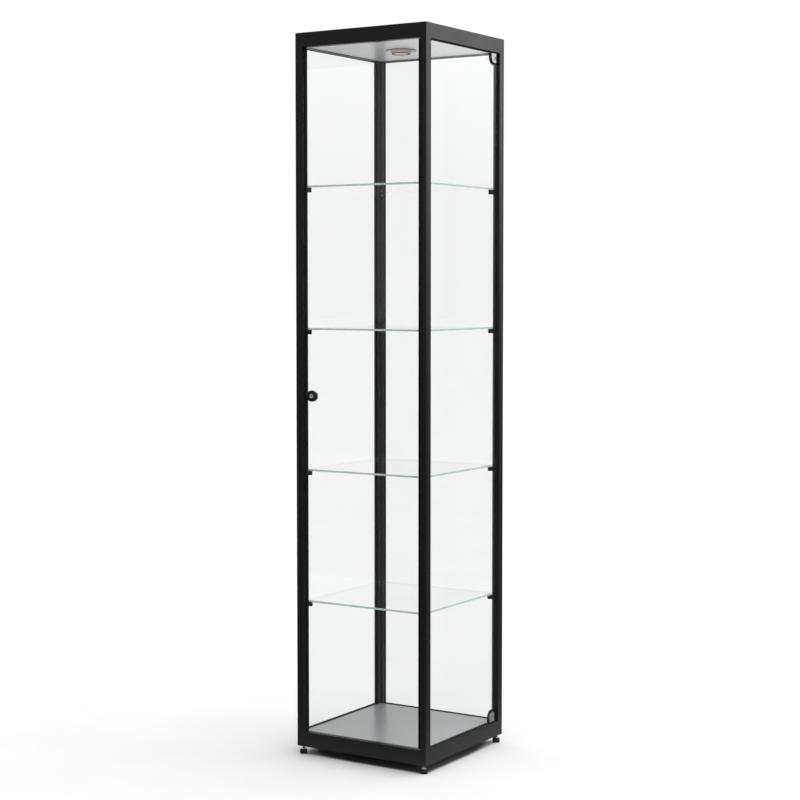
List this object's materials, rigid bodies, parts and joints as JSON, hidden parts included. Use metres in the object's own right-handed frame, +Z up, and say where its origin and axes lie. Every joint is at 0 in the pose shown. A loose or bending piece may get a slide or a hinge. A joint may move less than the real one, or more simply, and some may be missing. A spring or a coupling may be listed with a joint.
{
  "type": "glass display case",
  "caption": "Tall square glass display case with a black frame, glass shelves, a lockable front door, a second side door, a tilting ceiling lamp and levelling feet.",
  "frame": {"origin": "on the floor under the middle of the case", "axes": "+Z up, the lockable front faces -Y, the side door faces +X"},
  "size_m": [0.4, 0.4, 1.9],
  "materials": {
    "cap_black": "fine satin",
    "frame_black": "satin black powder coat",
    "glass_clear": "clear toughened, green edges",
    "rubber_black": "matt",
    "panel_grey": "satin light grey",
    "panel_black": "satin",
    "steel_zinc": "zinc plated",
    "screw_steel": "plain",
    "nylon_black": "smooth",
    "clip_black": "fine satin",
    "stile_black": "matt black",
    "lock_black": "gloss black",
    "lock_metal": "satin nickel",
    "hinge_black": "satin black",
    "chrome_bright": "polished",
    "lamp_black": "satin black",
    "lamp_metal": "satin",
    "lamp_light": "frosted, lit",
    "driver_black": "textured",
    "foot_black": "satin",
    "stem_steel": "bright zinc"
  },
  "bodies": {
    "case": {"bracket_screws": "screw_steel", "ceiling_panel": "panel_grey", "corner_brackets": "steel_zinc", "door_bearings": "nylon_black", "floor_panel": "panel_grey", "foot_plates": "cap_black", "lamp_driver": "driver_black", "lamp_springs": "steel_zinc", "lamp_trim": "lamp_black", "lock_strike": "steel_zinc", "pane_back": "glass_clear", "pane_gaskets": "rubber_black", "pane_left": "glass_clear", "post_back_left": "frame_black", "post_back_right": "frame_black", "post_caps": "cap_black", "post_front_left": "frame_black", "post_front_right": "frame_black", "rail_bottom_back": "frame_black", "rail_bottom_front": "frame_black", "rail_bottom_left": "frame_black", "rail_bottom_right": "frame_black", "rail_top_back": "frame_black", "rail_top_front": "frame_black", "rail_top_left": "frame_black", "rail_top_right": "frame_black", "roof_grommet": "rubber_black", "roof_panel": "panel_black", "seals_front": "rubber_black", "seals_right": "rubber_black", "shelf_1": "glass_clear", "shelf_2": "glass_clear", "shelf_3": "glass_clear", "shelf_4": "glass_clear", "shelf_clips": "clip_black", "slot_screws": "screw_steel"},
    "front_door": {"front_glass": "glass_clear", "front_stile": "stile_black", "stile_pivots": "steel_zinc", "lock_housing": "lock_black", "lock_nut": "lock_black"},
    "lock": {"lock_plug": "lock_metal", "lock_cam": "steel_zinc", "cam_screw": "screw_steel"},
    "right_door": {"right_glass": "glass_clear", "hinge_bodies": "hinge_black", "hinge_plates": "chrome_bright", "hinge_pads": "rubber_black", "hinge_bolts": "chrome_bright"},
    "lamp": {"lamp_head": "lamp_metal", "lamp_lens": "lamp_light", "lamp_bezel": "lamp_black"},
    "foot_front_left": {"foot_pad_front_left": "foot_black", "foot_stem_front_left": "stem_steel"},
    "foot_front_right": {"foot_pad_front_right": "foot_black", "foot_stem_front_right": "stem_steel"},
    "foot_back_left": {"foot_pad_back_left": "foot_black", "foot_stem_back_left": "stem_steel"},
    "foot_back_right": {"foot_pad_back_right": "foot_black", "foot_stem_back_right": "stem_steel"}
  },
  "joints": [
    {"name": "front_door_hinge", "type": "hinge", "parent": "case", "child": "front_door", "pos_m": [0.1794, -0.196, 0.962], "axis": [0, 0, 1], "range_deg": [0, 110]},
    {"name": "lock_turn", "type": "hinge", "parent": "front_door", "child": "lock", "pos_m": [-0.152, -0.19, 0.955], "axis": [0, 1, 0], "range_deg": [0, 90]},
    {"name": "right_door_hinge", "type": "hinge", "parent": "case", "child": "right_door", "pos_m": [0.192, 0.165, 0.962], "axis": [0, 0, 1], "range_deg": [0, 110]},
    {"name": "lamp_tilt", "type": "hinge", "parent": "case", "child": "lamp", "pos_m": [0, 0, 1.866], "axis": [1, 0, 0], "range_deg": [-20, 20]},
    {"name": "foot_height_front_left", "type": "slide", "parent": "case", "child": "foot_front_left", "axis": [0, 0, 1], "range_m": [-0.008, 0.004]},
    {"name": "foot_height_front_right", "type": "slide", "parent": "case", "child": "foot_front_right", "axis": [0, 0, 1], "range_m": [-0.008, 0.004]},
    {"name": "foot_height_back_left", "type": "slide", "parent": "case", "child": "foot_back_left", "axis": [0, 0, 1], "range_m": [-0.008, 0.004]},
    {"name": "foot_height_back_right", "type": "slide", "parent": "case", "child": "foot_back_right", "axis": [0, 0, 1], "range_m": [-0.008, 0.004]}
  ]
}
